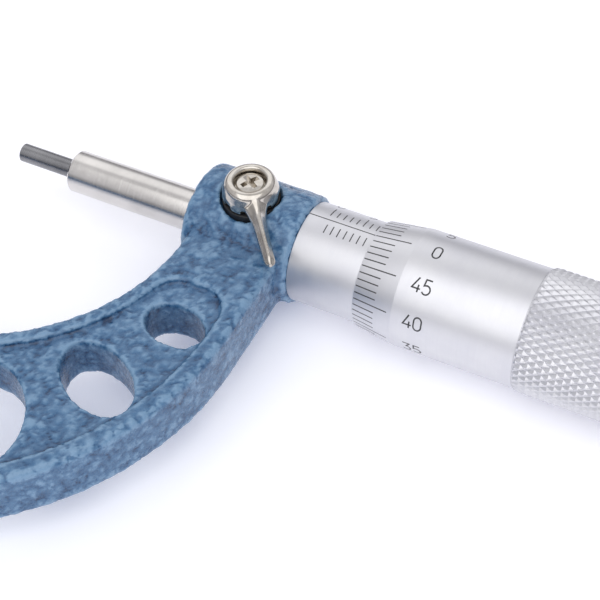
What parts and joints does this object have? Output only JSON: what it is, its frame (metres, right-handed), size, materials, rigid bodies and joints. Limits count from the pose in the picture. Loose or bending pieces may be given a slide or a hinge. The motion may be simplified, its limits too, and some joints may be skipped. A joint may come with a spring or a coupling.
{
  "type": "outside micrometer",
  "caption": "Outside micrometer with a blue hammertone bow, slim measuring pins, lever lock, graduated thimble and ratchet stop.",
  "frame": {"origin": "centre of the anvil's measuring face", "axes": "+X along the spindle axis from the anvil to the ratchet, -Y towards the bow, +Z out of the face with the lock lever"},
  "size_m": [0.1591, 0.0743, 0.0196],
  "materials": {
    "hammertone_paint": "blue hammertone paint",
    "satin_chrome": "satin",
    "ground_steel": "ground",
    "pin_steel": "ground, darker",
    "plain_steel": "turned",
    "bright_chrome": "polished",
    "black_seat": "black, matte",
    "brass": "turned"
  },
  "bodies": {
    "body": {"frame": "hammertone_paint", "anvil": "ground_steel", "anvil_pin": "pin_steel", "inner_sleeve": "plain_steel", "graduated_sleeve": "satin_chrome", "adjusting_nut": "plain_steel", "lock_seat": "black_seat"},
    "spindle": {"spindle": "ground_steel", "spindle_pin": "pin_steel"},
    "thimble": {"thimble": "satin_chrome", "ratchet_shaft": "plain_steel", "fixed_ratchet_wheel": "plain_steel", "ratchet_washer": "plain_steel", "ratchet_screw": "plain_steel"},
    "ratchet": {"ratchet_knob": "satin_chrome", "moving_ratchet_wheel": "plain_steel", "ratchet_spring": "plain_steel"},
    "lever": {"lock_lever": "bright_chrome", "clamp_screw": "plain_steel", "lever_screw": "bright_chrome"},
    "pad": {"lock_pad": "brass"}
  },
  "joints": [
    {"name": "spindle_feed", "type": "slide", "parent": "body", "child": "spindle", "axis": [1, 0, 0], "range_m": [-0.0075, 0.0175]},
    {"name": "thimble_turn", "type": "hinge", "parent": "spindle", "child": "thimble", "pos_m": [0.06615, 0, 0], "axis": [1, 0, 0], "range_deg": [-5400, 12600]},
    {"name": "ratchet_turn", "type": "hinge", "parent": "thimble", "child": "ratchet", "pos_m": [0.11135, 0, 0], "axis": [1, 0, 0], "continuous": true},
    {"name": "lever_turn", "type": "hinge", "parent": "body", "child": "lever", "pos_m": [0.04695, 0, 0.008], "axis": [0, 0, 1], "range_deg": [-50, 0]},
    {"name": "pad_press", "type": "slide", "parent": "body", "child": "pad", "axis": [0, 0, 1], "range_m": [-0.00010417, 0]}
  ],
  "couplings": [
    {"joint": "thimble_turn", "follows": "spindle_feed", "rad_per_m": 12566},
    {"joint": "lever_turn", "follows": "pad_press", "rad_per_m": 8377.6}
  ]
}
